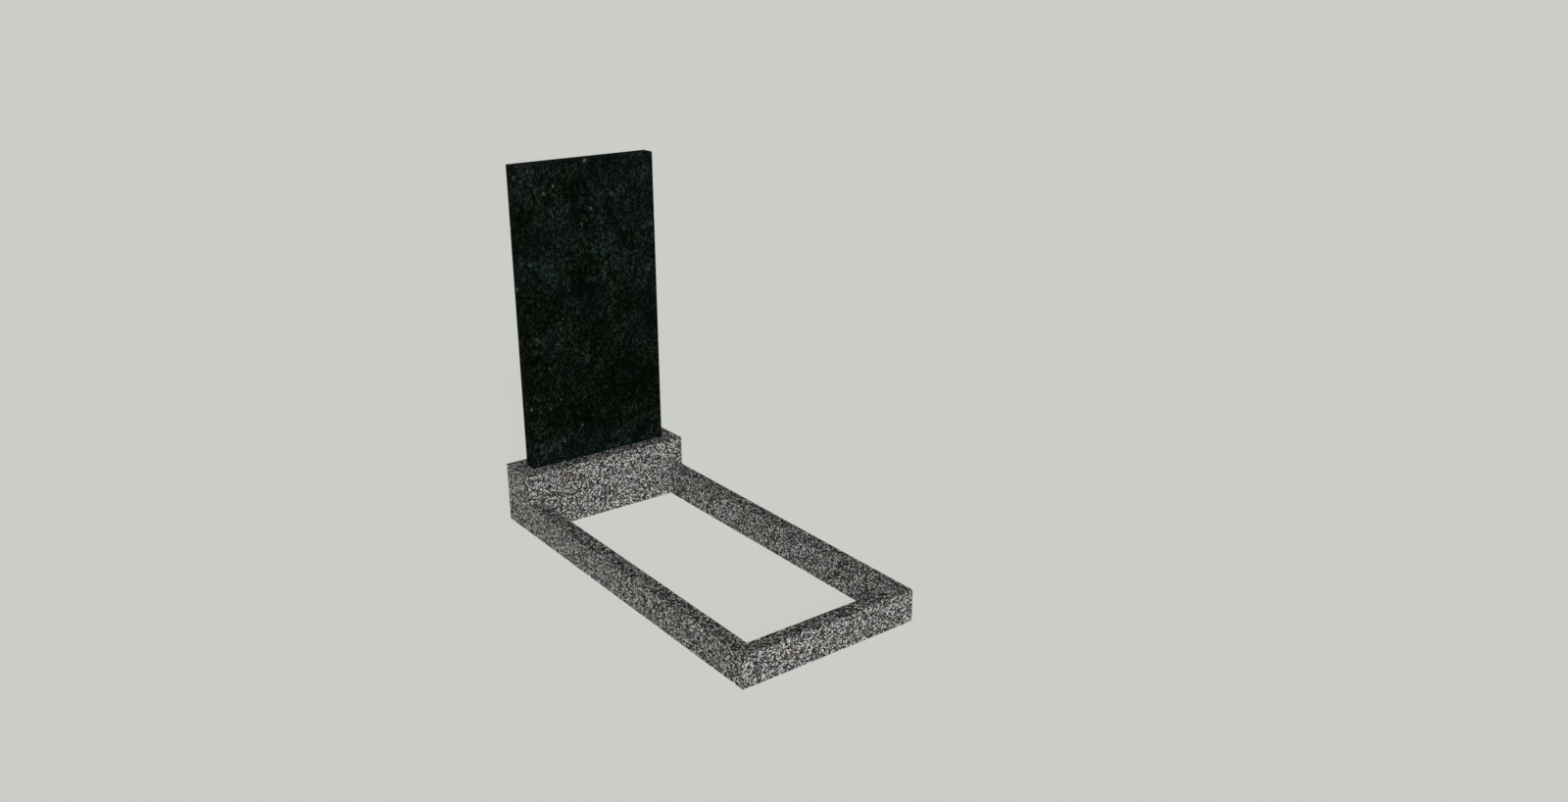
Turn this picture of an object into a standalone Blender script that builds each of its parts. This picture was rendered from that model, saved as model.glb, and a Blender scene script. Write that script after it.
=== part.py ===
"""Upright granite headstone: a stele on a plinth, with a three-rail kerb round the bed in front of it.

Metres, +Z up. +Y runs from the foot of the grave to the stele, and +X is to the right of someone who
faces the stele. The origin is on the ground, at the centre of the whole footprint.
"""
import bpy
from mathutils import Vector

# Stele: the upright slab
STELE_WIDTH = 0.500
STELE_THICKNESS = 0.050
STELE_HEIGHT = 1.000

# Plinth: the block that carries the stele
PLINTH_WIDTH = 0.600
PLINTH_DEPTH = 0.150
PLINTH_HEIGHT = 0.200

# Kerb: two side rails and a foot rail of one section
KERB_LENGTH = 1.200
RAIL_THICKNESS = 0.050
RAIL_HEIGHT = 0.100

# Hairline joint between two stones that touch
JOINT = 0.0003

# Arris: the small rounding that takes the sharpness off a sawn edge
ARRIS_WIDTH = 0.0015
ARRIS_SEGMENTS = 2

# Stone: linear colour and roughness
SPECKLED_GREY = (0.110, 0.108, 0.103)
SPECKLED_GREY_ROUGHNESS = 0.45
BLACK_GREEN = (0.0052, 0.0082, 0.0062)
BLACK_GREEN_ROUGHNESS = 0.30

# Sides of a block, as directions from its middle
LEFT, RIGHT = Vector((-1, 0, 0)), Vector((1, 0, 0))
FRONT, BACK = Vector((0, -1, 0)), Vector((0, 1, 0))
TOP, BOTTOM = Vector((0, 0, 1)), Vector((0, 0, -1))


def clear_scene():
    """Remove every object, so that the model starts from an empty scene."""
    for thing in list(bpy.data.objects):
        bpy.data.objects.remove(thing, do_unlink=True)


def make_stone(name, colour, roughness):
    """Make one stone's material."""
    stone = bpy.data.materials.new(name)
    stone.use_nodes = True
    shader = stone.node_tree.nodes["Principled BSDF"]
    shader.inputs["Base Color"].default_value = (*colour, 1.0)
    shader.inputs["Roughness"].default_value = roughness
    shader.inputs["Metallic"].default_value = 0.0
    return stone


def edges_between(sides, other_sides):
    """Name the edges where each of some sides meets each of the others, by the two directions added up."""
    return {tuple(side + other) for side in sides for other in other_sides}


def ease_edges(block, size, arrises):
    """Round the named edges of a block, and leave the others sharp."""
    weights = block.data.attributes.new("bevel_weight_edge", "FLOAT", "EDGE")
    for edge in block.data.edges:
        start, end = (block.data.vertices[index].co for index in edge.vertices)
        middle = (start + end) / 2
        sides = tuple(float(round(offset / (length / 2))) for offset, length in zip(middle, size))
        weights.data[edge.index].value = 1.0 if sides in arrises else 0.0
    bevel = block.modifiers.new("arrises", "BEVEL")
    bevel.limit_method = "WEIGHT"
    bevel.width = ARRIS_WIDTH
    bevel.segments = ARRIS_SEGMENTS


def make_block(name, size, base_centre, stone, arrises):
    """Make one sawn block of stone that stands on the centre of its underside."""
    bpy.ops.mesh.primitive_cube_add(size=1.0)
    block = bpy.context.object
    block.name = name
    block.data.name = name
    block.scale = size
    bpy.ops.object.transform_apply(location=False, rotation=False, scale=True)
    ease_edges(block, size, arrises)
    block.data.materials.append(stone)
    block.location = Vector(base_centre) + TOP * size[2] / 2
    return block


def make_headstone():
    """Build the five stones and place them against each other."""
    grey = make_stone("speckled_grey_granite", SPECKLED_GREY, SPECKLED_GREY_ROUGHNESS)
    black = make_stone("black_green_granite", BLACK_GREEN, BLACK_GREEN_ROUGHNESS)

    plinth_back = (PLINTH_DEPTH + JOINT + KERB_LENGTH) / 2
    plinth_middle = plinth_back - PLINTH_DEPTH / 2
    rail_back = plinth_back - PLINTH_DEPTH - JOINT
    rail_front = rail_back - KERB_LENGTH
    rail_middle = (rail_back + rail_front) / 2
    foot_middle = rail_front + RAIL_THICKNESS / 2
    rail_out = (PLINTH_WIDTH - RAIL_THICKNESS) / 2
    foot_length = PLINTH_WIDTH - 2 * (RAIL_THICKNESS + JOINT)

    all_sides = (LEFT, RIGHT, FRONT, BACK)
    corners = edges_between((LEFT, RIGHT), (FRONT, BACK))
    top_edges = edges_between((TOP,), all_sides)
    long_edges = edges_between((TOP,), (LEFT, RIGHT, FRONT))

    stele_size = (STELE_WIDTH, STELE_THICKNESS, STELE_HEIGHT)
    plinth_size = (PLINTH_WIDTH, PLINTH_DEPTH, PLINTH_HEIGHT)
    side_size = (RAIL_THICKNESS, KERB_LENGTH, RAIL_HEIGHT)
    foot_size = (foot_length, RAIL_THICKNESS, RAIL_HEIGHT)

    return [
        make_block("stele", stele_size, (0, plinth_middle, PLINTH_HEIGHT + JOINT), black,
                   top_edges | corners),
        make_block("plinth", plinth_size, (0, plinth_middle, 0), grey, top_edges | corners),
        make_block("kerb_rail_left", side_size, (-rail_out, rail_middle, 0), grey,
                   long_edges | edges_between((LEFT,), (FRONT,))),
        make_block("kerb_rail_right", side_size, (rail_out, rail_middle, 0), grey,
                   long_edges | edges_between((RIGHT,), (FRONT,))),
        make_block("kerb_rail_front", foot_size, (0, foot_middle, 0), grey,
                   edges_between((TOP,), (FRONT, BACK))),
    ]


def gather(name, stones):
    """Put the stones in one collection, under one empty at the origin."""
    collection = bpy.data.collections.new(name)
    bpy.context.scene.collection.children.link(collection)
    origin = bpy.data.objects.new(name, None)
    collection.objects.link(origin)
    for stone in stones:
        for holder in list(stone.users_collection):
            holder.objects.unlink(stone)
        collection.objects.link(stone)
        stone.parent = origin


clear_scene()
gather("upright_headstone", make_headstone())
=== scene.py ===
"""Looks of an upright granite headstone: a dark stele on a speckled plinth, with a kerb round the bed.

Metres, +Z up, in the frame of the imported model. Every stone is modelled in the place of its solid, and
each granite is a stack of grain patterns whose sizes are given in millimetres.
"""
import math

import bmesh
import bpy
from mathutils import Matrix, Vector


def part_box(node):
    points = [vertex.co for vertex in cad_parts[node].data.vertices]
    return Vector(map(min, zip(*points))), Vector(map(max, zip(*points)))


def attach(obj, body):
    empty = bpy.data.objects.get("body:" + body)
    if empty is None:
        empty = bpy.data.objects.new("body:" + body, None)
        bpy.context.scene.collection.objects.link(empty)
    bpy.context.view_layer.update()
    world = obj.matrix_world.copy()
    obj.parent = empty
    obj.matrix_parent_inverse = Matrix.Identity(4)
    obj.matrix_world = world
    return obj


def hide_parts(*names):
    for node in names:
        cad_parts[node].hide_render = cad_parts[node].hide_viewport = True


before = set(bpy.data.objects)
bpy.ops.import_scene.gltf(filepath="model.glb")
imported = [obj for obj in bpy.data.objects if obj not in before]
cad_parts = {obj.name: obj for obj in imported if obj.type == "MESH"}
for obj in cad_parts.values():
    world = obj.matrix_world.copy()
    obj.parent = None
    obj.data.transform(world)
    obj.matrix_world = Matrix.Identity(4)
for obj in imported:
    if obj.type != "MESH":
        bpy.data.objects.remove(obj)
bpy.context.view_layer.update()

# Camera: the photograph's place, direction and angle of view, from the stones' own edges
CAMERA_PLACE = (-1.986, -3.046, 1.829)
CAMERA_TURN_DEG = 37.53
CAMERA_DIP_DEG = 19.47
SENSOR_MM = 36.0
LENS_MM = 29.41

# A camera or a sun that isn't turned points straight down, so it is level after a quarter turn
LEVEL_DEG = 90.0

# Studio: a pale floor that glows like a light table, one wide soft key light and an even dome of light
FLOOR_SIZE = 400.0
FLOOR_HEX = "#cccdc8"
FLOOR_GLOW = 0.943
FLOOR_REFLECTANCE = 0.10
DOME_STRENGTH = 0.30
KEY_STRENGTH = 1.50
KEY_SIDE_DEG = 20.0
KEY_HEIGHT_DEG = 23.0
KEY_WIDTH_DEG = 30.0

# Arris: the sharp edge of a sawn block, rubbed round by hand
ARRIS_WIDTH = 0.0015
ARRIS_SEGMENTS = 3
SHARP_FROM_DEG = 45.0

# Sides of a block, as directions from its middle
LEFT, RIGHT = Vector((-1, 0, 0)), Vector((1, 0, 0))
FRONT, BACK = Vector((0, -1, 0)), Vector((0, 1, 0))
TOP = Vector((0, 0, 1))

# Where in its granite each grey stone is sawn from, in metres, so that no two show the same grains
SAWN_FROM = {
    "plinth": (1.7, 0.0, 0.0),
    "kerb_rail_left": (3.1, 0.0, 0.0),
    "kerb_rail_right": (0.0, 4.3, 0.0),
    "kerb_rail_front": (0.0, 0.0, 2.7),
}

# Turn of the grain patterns, so that no sawn face runs along one layer of their cells
ASKEW = (0.5, 0.7, 0.3)

# Sockets of a Mix node that mixes colours
FACTOR, FIRST, SECOND, MIXED = 0, 6, 7, 2


def linear(hex_colour):
    """Turn an sRGB hex colour to the linear red, green, blue and alpha that a node holds."""
    toe, slope, offset, gamma = 0.04045, 12.92, 0.055, 2.4
    channels = [int(hex_colour[place:place + 2], 16) / 255 for place in (1, 3, 5)]
    light = [c / slope if c <= toe else ((c + offset) / (1 + offset)) ** gamma for c in channels]
    return (*light, 1.0)


def per_metre(size_mm):
    """Give the scale at which a pattern has one cell or wave in each stretch of this many millimetres."""
    return 1000.0 / size_mm


def add(tree, kind, inputs=(), stops=(), **settings):
    """Add one node with its settings, its inputs as values or other nodes' sockets, and its ramp's stops."""
    node = tree.nodes.new("ShaderNode" + kind)
    for name, value in settings.items():
        setattr(node, name, value)
    for name, value in dict(inputs).items():
        if isinstance(value, bpy.types.NodeSocket):
            tree.links.new(value, node.inputs[name])
        else:
            node.inputs[name].default_value = value
    if stops:
        ramp = node.color_ramp
        while len(ramp.elements) < len(stops):
            ramp.elements.new(1.0)
        for element, (place, colour) in zip(ramp.elements, stops):
            element.position = place
            element.color = linear(colour)
    return node


def new_material(name):
    """Start a material with an empty node tree, and give it and its tree."""
    material = bpy.data.materials.new(name)
    material.use_nodes = True
    material.node_tree.nodes.clear()
    return material, material.node_tree


def finish_material(tree, **inputs):
    """Close a material's tree with its shader and output."""
    shader = add(tree, "BsdfPrincipled", {name.replace("_", " "): value for name, value in inputs.items()})
    add(tree, "OutputMaterial", {"Surface": shader.outputs["BSDF"]})


def ragged_place(tree, block, tooth_mm, tooth_reach):
    """Shift each place in the block by a fine noise, which gives the grains there ragged outlines."""
    teeth = add(tree, "TexNoise", {"Vector": block, "Scale": per_metre(tooth_mm), "Detail": 2.0})
    return add(tree, "VectorMath", {0: teeth.outputs["Color"], 1: (tooth_reach,) * 3, 2: block},
               operation="MULTIPLY_ADD").outputs["Vector"]


def speckled_granite(name, shift):
    """Grey granite, sawn and honed: pale feldspar and grey quartz grains between flakes of black mica.

    The eye sees salt and pepper from a step away, in faint clouds a hand wide: clouds of light over the
    whole stone, and clouds of blue, green and pink in its dark flakes. The stone's own grains are 2 to 4 mm
    across. They are drawn 4 to 5 mm, as the picture shows 3 mm in a single cell and would blur finer ones.
    """
    # Sizes of the grains, of the flakes between them and of the teeth of both, and the teeth's reach
    grain_mm, flake_mm, tooth_mm = 5.2, 3.8, 3.0
    tooth_reach = 0.0010
    # Scale across, along and up, where less is longer: the grains lie flat, along the grave
    drawn_out = (1.0, 0.75, 1.25)
    # Where a grain starts and ends giving way to flakes, out from its middle, in parts of its size
    grain_full, grain_gone = 0.38, 0.62
    # Sizes of the clouds of light and of hue, which run on from one stone to the next
    cloud_mm, hue_mm = 50.0, 60.0
    # The part of the noise that counts, and the shade of the stone from its low end to its high end
    cloud_low, cloud_high = 0.3, 0.7
    darkest, lightest = 0.91, 1.03
    # Roughness of a honed face, from flake to flake, and an index of refraction well under granite's own,
    # because the photograph's stone has next to no shine
    smoothest, roughest = 0.50, 0.72
    index = 1.20

    material, tree = new_material(name)
    place = add(tree, "Mapping", {"Vector": add(tree, "TexCoord").outputs["Object"], "Scale": drawn_out,
                                  "Rotation": ASKEW}).outputs["Vector"]
    block = add(tree, "Mapping", {"Vector": place, "Location": shift}).outputs["Vector"]
    ragged = ragged_place(tree, block, tooth_mm, tooth_reach)

    # Grains, from dark quartz to white feldspar
    grains = add(tree, "TexVoronoi", {"Vector": ragged, "Scale": per_metre(grain_mm)})
    grain = add(tree, "SeparateColor", {"Color": grains.outputs["Color"]})
    minerals = add(tree, "ValToRGB", {"Fac": grain.outputs["Red"]}, stops=(
        (0.00, "#1e1d1b"), (0.43, "#403f3e"), (0.60, "#747372"), (0.72, "#c9c8c7"), (0.84, "#fcfbfb"),
        (1.00, "#ffffff")))
    heart = add(tree, "MapRange", {"Value": grains.outputs["Distance"],
                                   "From Min": grain_full, "From Max": grain_gone,
                                   "To Min": 1.0, "To Max": 0.0}, interpolation_type="SMOOTHSTEP")

    # Flakes between the grains, most of them black, in clouds of hue
    fines = add(tree, "TexVoronoi", {"Vector": ragged, "Scale": per_metre(flake_mm)})
    fine = add(tree, "SeparateColor", {"Color": fines.outputs["Color"]})
    flakes = add(tree, "ValToRGB", {"Fac": fine.outputs["Red"]}, stops=(
        (0.00, "#100f0d"), (0.40, "#272624"), (0.62, "#535251"), (0.80, "#a5a4a3"), (1.00, "#ebeaea")))
    hues = add(tree, "TexNoise", {"Vector": place, "Scale": per_metre(hue_mm), "Detail": 2.0})
    tint = add(tree, "ValToRGB", {"Fac": hues.outputs["Fac"]}, stops=(
        (0.32, "#e6e6fa"), (0.45, "#e9f3ec"), (0.56, "#f8f1e6"), (0.68, "#fbeae6")))
    mica = add(tree, "VectorMath", {0: flakes.outputs["Color"], 1: tint.outputs["Color"]},
               operation="MULTIPLY")
    packed = add(tree, "Mix", {FACTOR: heart.outputs["Result"], FIRST: mica.outputs["Vector"],
                               SECOND: minerals.outputs["Color"]}, data_type="RGBA")

    # Clouds of light
    clouds = add(tree, "TexNoise", {"Vector": place, "Scale": per_metre(cloud_mm), "Detail": 3.0})
    shade = add(tree, "MapRange", {"Value": clouds.outputs["Fac"],
                                   "From Min": cloud_low, "From Max": cloud_high,
                                   "To Min": darkest, "To Max": lightest})
    colour = add(tree, "VectorMath", {0: packed.outputs[MIXED], 1: shade.outputs["Result"]},
                 operation="MULTIPLY")

    rough = add(tree, "MapRange", {"Value": fine.outputs["Green"], "To Min": smoothest, "To Max": roughest})
    finish_material(tree, Base_Color=colour.outputs["Vector"], Roughness=rough.outputs["Result"], IOR=index)
    return material


def dark_granite(name, slab_foot):
    """Black-green granite, polished: small grey, teal and green crystals in a near-black ground.

    The eye sees a deep black face with a fine glimmer in slow clouds, and a few pale flecks. The stone
    leans to blue-grey high up and to green lower down. A strip a hand high at its foot leans to blue again,
    and glimmers more. The crystals are drawn 4 to 7 mm across, as finer ones wouldn't show in the picture.
    """
    # Sizes of the crystals, of the sparks between them and of the teeth of both, and the teeth's reach
    crystal_mm, spark_mm, tooth_mm = 7.0, 4.5, 6.0
    tooth_reach = 0.0045
    # Scale across, along and up, where less is longer: the crystals stand upright
    drawn_out = (1.0, 1.0, 0.8)
    # Powers that leave only a few of the crystals, sparks and flecks bright
    crystal_rarity, spark_rarity, fleck_rarity = 4.0, 5.0, 3.5
    # Flecks: their spacing, and how far out from its middle one is full and gone, in parts of the spacing
    fleck_mm, fleck_full, fleck_gone = 40.0, 0.03, 0.16
    fleck_hex = "#a5ab9f"
    # Clouds of glimmer: their size, the part of the noise that counts, and how far the crystals light up
    cloud_mm, cloud_low, cloud_high = 130.0, 0.39, 0.69
    faintest, fullest = 0.03, 0.95
    # Clouds of hue: their size, the part of the noise that counts, and the lean, where 0 is blue and 1 green
    hue_mm, hue_low, hue_high = 120.0, 0.30, 0.70
    bluest, greenest = 0.3, 1.0
    # What each metre of height adds to the lean, and what each crystal adds to it at most
    lean_upwards, lean_of_crystal = -0.4, 0.30
    # How far the crystals light up where the stone is blue, and from the lean on where it counts as green
    blue_glimmer, green_glimmer, green_from = 0.97, 0.80, 0.8
    # Strip at the foot: where it starts and ends fading upwards, its part of the lean, and its glimmer
    strip_full, strip_gone = slab_foot + 0.085, slab_foot + 0.105
    strip_lean, strip_glimmer = 0.4, 1.45
    # Roughness and index of refraction of the polish. The index is far under granite's own, because the
    # photograph's slab shows no mirror image of what stands round it
    polish, index = 0.30, 1.02

    material, tree = new_material(name)
    place = add(tree, "TexCoord").outputs["Object"]
    height = add(tree, "SeparateXYZ", {"Vector": place}).outputs["Z"]
    block = add(tree, "Mapping", {"Vector": place, "Rotation": ASKEW, "Scale": drawn_out}).outputs["Vector"]
    ragged = ragged_place(tree, block, tooth_mm, tooth_reach)

    # Crystals, and the sparks between them
    coarse = add(tree, "TexVoronoi", {"Vector": ragged, "Scale": per_metre(crystal_mm)})
    coarse_pick = add(tree, "SeparateColor", {"Color": coarse.outputs["Color"]})
    fines = add(tree, "TexVoronoi", {"Vector": ragged, "Scale": per_metre(spark_mm)})
    fine_pick = add(tree, "SeparateColor", {"Color": fines.outputs["Color"]})
    bright = add(tree, "Math", {0: coarse_pick.outputs["Red"], 1: crystal_rarity},
                 operation="POWER").outputs["Value"]
    spark = add(tree, "Math", {0: fine_pick.outputs["Red"], 1: spark_rarity},
                operation="POWER").outputs["Value"]
    crystals = add(tree, "Math", {0: bright, 1: spark}, operation="ADD").outputs["Value"]

    # Clouds of glimmer, rough down to the size of one crystal
    clouds = add(tree, "TexNoise", {"Vector": block, "Scale": per_metre(cloud_mm), "Detail": 7.0,
                                    "Roughness": 0.8})
    cloud = add(tree, "MapRange", {"Value": clouds.outputs["Fac"],
                                   "From Min": cloud_low, "From Max": cloud_high,
                                   "To Min": faintest, "To Max": fullest}).outputs["Result"]

    # Lean of the hue: in clouds, with height, and less of it in the strip at the foot
    hues = add(tree, "TexNoise", {"Vector": block, "Scale": per_metre(hue_mm), "Detail": 3.0})
    region = add(tree, "MapRange", {"Value": hues.outputs["Fac"], "From Min": hue_low, "From Max": hue_high,
                                    "To Min": bluest, "To Max": greenest}).outputs["Result"]
    strip_share, strip_light = [
        add(tree, "MapRange", {"Value": height, "From Min": strip_full, "From Max": strip_gone,
                               "To Min": in_strip, "To Max": 1.0}).outputs["Result"]
        for in_strip in (strip_lean, strip_glimmer)]
    risen = add(tree, "Math", {0: height, 1: lean_upwards, 2: region},
                operation="MULTIPLY_ADD").outputs["Value"]
    lean = add(tree, "Math", {0: risen, 1: strip_share}, operation="MULTIPLY").outputs["Value"]

    # Light of the crystals: by cloud, by hue, and more of it in the strip
    glimmer = add(tree, "MapRange", {"Value": lean, "From Min": 0.0, "From Max": green_from,
                                     "To Min": blue_glimmer, "To Max": green_glimmer}).outputs["Result"]
    lit = crystals
    for share in (cloud, glimmer, strip_light):
        lit = add(tree, "Math", {0: lit, 1: share}, operation="MULTIPLY").outputs["Value"]

    # Colours of the crystals and of the ground, from blue to green
    hue = add(tree, "Math", {0: coarse_pick.outputs["Green"], 1: lean_of_crystal, 2: lean},
              operation="MULTIPLY_ADD").outputs["Value"]
    crystal_colour = add(tree, "ValToRGB", {"Fac": hue}, stops=(
        (0.00, "#454549"), (0.20, "#3e4849"), (0.38, "#364740"), (0.55, "#3a4337"), (0.75, "#34402f"),
        (1.00, "#3b3f33")))
    ground_colour = add(tree, "ValToRGB", {"Fac": lean}, stops=(
        (0.00, "#070d0b"), (0.25, "#050d0a"), (0.40, "#020904"), (0.70, "#020902"), (1.00, "#030902")))
    stone = add(tree, "Mix", {FACTOR: lit, FIRST: ground_colour.outputs["Color"],
                              SECOND: crystal_colour.outputs["Color"]}, data_type="RGBA")

    # Flecks: small clusters of pale sparks
    flecks = add(tree, "TexVoronoi", {"Vector": ragged, "Scale": per_metre(fleck_mm)})
    speck = add(tree, "MapRange", {"Value": flecks.outputs["Distance"],
                                   "From Min": fleck_full, "From Max": fleck_gone,
                                   "To Min": 1.0, "To Max": 0.0}).outputs["Result"]
    fleck_pick = add(tree, "SeparateColor", {"Color": flecks.outputs["Color"]})
    shine = add(tree, "Math", {0: fleck_pick.outputs["Red"], 1: fleck_rarity},
                operation="POWER").outputs["Value"]
    cluster = add(tree, "Math", {0: fine_pick.outputs["Red"], 1: shine}, operation="MULTIPLY")
    fleck = add(tree, "Math", {0: speck, 1: cluster.outputs["Value"]}, operation="MULTIPLY")
    colour = add(tree, "Mix", {FACTOR: fleck.outputs["Value"], FIRST: stone.outputs[MIXED],
                               SECOND: linear(fleck_hex)}, data_type="RGBA")
    finish_material(tree, Base_Color=colour.outputs[MIXED], Roughness=polish, IOR=index)
    return material


def pale_floor():
    """Opal acrylic light table: a matt pale sheet that glows evenly, so that shadows on it stay faint."""
    material, tree = new_material("opal_acrylic_table")
    colour = linear(FLOOR_HEX)
    reflected = tuple(channel / colour[1] * FLOOR_REFLECTANCE for channel in colour[:3]) + (1.0,)
    finish_material(tree, Base_Color=reflected, Roughness=1.0, Specular_IOR_Level=0.0,
                    Emission_Color=colour, Emission_Strength=FLOOR_GLOW)
    return material


def edges_between(sides, other_sides):
    """Name the edges where each of some sides meets each of the others, by the two directions added up."""
    return {tuple(side + other) for side in sides for other in other_sides}


def model_stone(node, material, arrises):
    """Model one block in its solid's place: a cube drawn out to the solid's corners, its arrises rubbed.

    The cube starts two wide round the origin, so that each edge's middle is at the edge's name.
    """
    low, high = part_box(node)
    half = (high - low) / 2
    block = bmesh.new()
    bmesh.ops.create_cube(block, size=2.0)
    rubbed = [edge for edge in block.edges
              if tuple((edge.verts[0].co + edge.verts[1].co) / 2) in arrises]
    bmesh.ops.scale(block, vec=half, verts=block.verts)
    bmesh.ops.translate(block, vec=(low + high) / 2, verts=block.verts)
    bmesh.ops.bevel(block, geom=rubbed, offset=ARRIS_WIDTH, offset_type="OFFSET", segments=ARRIS_SEGMENTS,
                    profile=0.5, affect="EDGES", material=-1)
    for edge in block.edges:
        edge.smooth = edge.calc_face_angle() < math.radians(SHARP_FROM_DEG)
    mesh = bpy.data.meshes.new(node + "_stone")
    block.to_mesh(mesh)
    block.free()
    mesh.shade_smooth()
    mesh.materials.append(material)
    stone = bpy.data.objects.new(node + "_stone", mesh)
    bpy.context.scene.collection.objects.link(stone)
    stone.modifiers.new("flat_faces", "WEIGHTED_NORMAL").keep_sharp = True
    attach(stone, "root")
    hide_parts(node)


def set_camera():
    """Stand the camera where the photograph's was."""
    camera = bpy.data.objects.new("camera", bpy.data.cameras.new("camera"))
    camera.data.sensor_width = SENSOR_MM
    camera.data.lens = LENS_MM
    camera.location = CAMERA_PLACE
    camera.rotation_euler = (math.radians(LEVEL_DEG - CAMERA_DIP_DEG), 0.0, math.radians(-CAMERA_TURN_DEG))
    bpy.context.scene.collection.objects.link(camera)
    bpy.context.scene.camera = camera


def set_studio():
    """Lay the floor, and light the stones from low in front with a wide soft key under an even dome.

    Past the floor's rim the camera sees the floor's own colour. The dome that lights the stones has the
    same colour and is dimmer.
    """
    sheet = bmesh.new()
    bmesh.ops.create_grid(sheet, x_segments=1, y_segments=1, size=FLOOR_SIZE / 2)
    mesh = bpy.data.meshes.new("floor")
    sheet.to_mesh(mesh)
    sheet.free()
    mesh.materials.append(pale_floor())
    floor = bpy.data.objects.new("floor", mesh)
    bpy.context.scene.collection.objects.link(floor)

    lamp = bpy.data.lights.new("key", "SUN")
    lamp.energy = KEY_STRENGTH
    lamp.angle = math.radians(KEY_WIDTH_DEG)
    key = bpy.data.objects.new("key", lamp)
    key.rotation_euler = (math.radians(LEVEL_DEG - KEY_HEIGHT_DEG), 0.0, math.radians(-KEY_SIDE_DEG))
    bpy.context.scene.collection.objects.link(key)

    world = bpy.data.worlds.new("studio")
    world.use_nodes = True
    tree = world.node_tree
    tree.nodes.clear()
    dome = add(tree, "Background", {"Color": linear(FLOOR_HEX), "Strength": DOME_STRENGTH})
    backdrop = add(tree, "Background", {"Color": linear(FLOOR_HEX), "Strength": 1.0})
    seen = add(tree, "LightPath").outputs["Is Camera Ray"]
    both = add(tree, "MixShader", {0: seen, 1: dome.outputs["Background"],
                                   2: backdrop.outputs["Background"]})
    add(tree, "OutputWorld", {"Surface": both.outputs["Shader"]})
    bpy.context.scene.world = world
    bpy.context.scene.view_settings.view_transform = "Standard"


def dress_stones():
    """Model the five stones. Edges on the ground, and a rail's own at its joints, stay sharp."""
    corners = edges_between((LEFT, RIGHT), (FRONT, BACK))
    top_edges = edges_between((TOP,), (LEFT, RIGHT, FRONT, BACK))
    long_edges = edges_between((TOP,), (LEFT, RIGHT, FRONT))
    arrises = {
        "plinth": top_edges | corners,
        "kerb_rail_left": long_edges | edges_between((LEFT,), (FRONT,)),
        "kerb_rail_right": long_edges | edges_between((RIGHT,), (FRONT,)),
        "kerb_rail_front": edges_between((TOP,), (FRONT, BACK)),
    }
    for node, shift in SAWN_FROM.items():
        granite = speckled_granite("honed_grey_granite_" + node, shift)
        model_stone(node, granite, arrises[node])
    slab_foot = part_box("stele")[0].z
    model_stone("stele", dark_granite("polished_dark_granite", slab_foot),
                top_edges | corners)


set_camera()
set_studio()
dress_stones()
